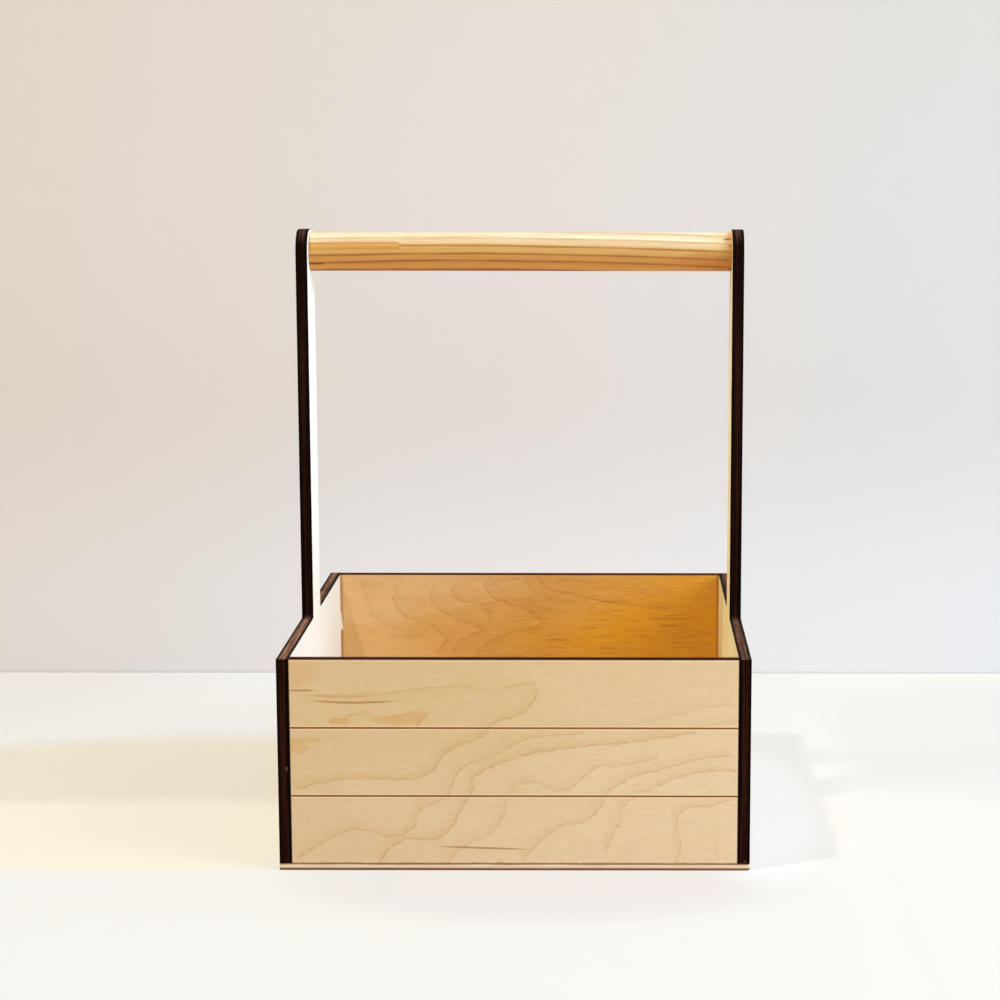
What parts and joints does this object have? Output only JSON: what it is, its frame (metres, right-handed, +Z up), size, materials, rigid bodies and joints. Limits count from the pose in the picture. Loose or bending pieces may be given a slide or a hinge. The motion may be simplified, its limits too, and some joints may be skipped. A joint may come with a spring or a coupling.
{
  "type": "wooden box with handle",
  "caption": "Open square plywood box with plank-like engraved lines and a tall fixed handle: a round pine dowel between two uprights, for carrying gifts or flowers.",
  "frame": {"origin": "middle of the underside of the base, on the surface the box stands on", "axes": "+Z up, X along the handle from left to right, front panel faces -Y"},
  "size_m": [0.23, 0.23, 0.3075],
  "materials": {
    "birch_ply": "sanded, laser-cut edges",
    "base_ply": "sanded, sawn edges",
    "pine": "turned and sanded",
    "zinc_screw": "yellow zinc",
    "steel_pin": "bright steel"
  },
  "bodies": {
    "root": {"base_panel": "base_ply", "front_panel": "birch_ply", "back_panel": "birch_ply", "left_side": "birch_ply", "right_side": "birch_ply", "handle_dowel": "pine", "handle_screw_left": "zinc_screw", "handle_screw_right": "zinc_screw", "corner_pin_left_front_1": "steel_pin", "corner_pin_left_front_2": "steel_pin", "corner_pin_left_front_3": "steel_pin", "corner_pin_left_back_1": "steel_pin", "corner_pin_left_back_2": "steel_pin", "corner_pin_left_back_3": "steel_pin", "corner_pin_right_front_1": "steel_pin", "corner_pin_right_front_2": "steel_pin", "corner_pin_right_front_3": "steel_pin", "corner_pin_right_back_1": "steel_pin", "corner_pin_right_back_2": "steel_pin", "corner_pin_right_back_3": "steel_pin", "base_pin_left_1": "steel_pin", "base_pin_left_2": "steel_pin", "base_pin_left_3": "steel_pin", "base_pin_right_1": "steel_pin", "base_pin_right_2": "steel_pin", "base_pin_right_3": "steel_pin", "base_pin_front_1": "steel_pin", "base_pin_front_2": "steel_pin", "base_pin_front_3": "steel_pin", "base_pin_back_1": "steel_pin", "base_pin_back_2": "steel_pin", "base_pin_back_3": "steel_pin"}
  },
  "joints": []
}
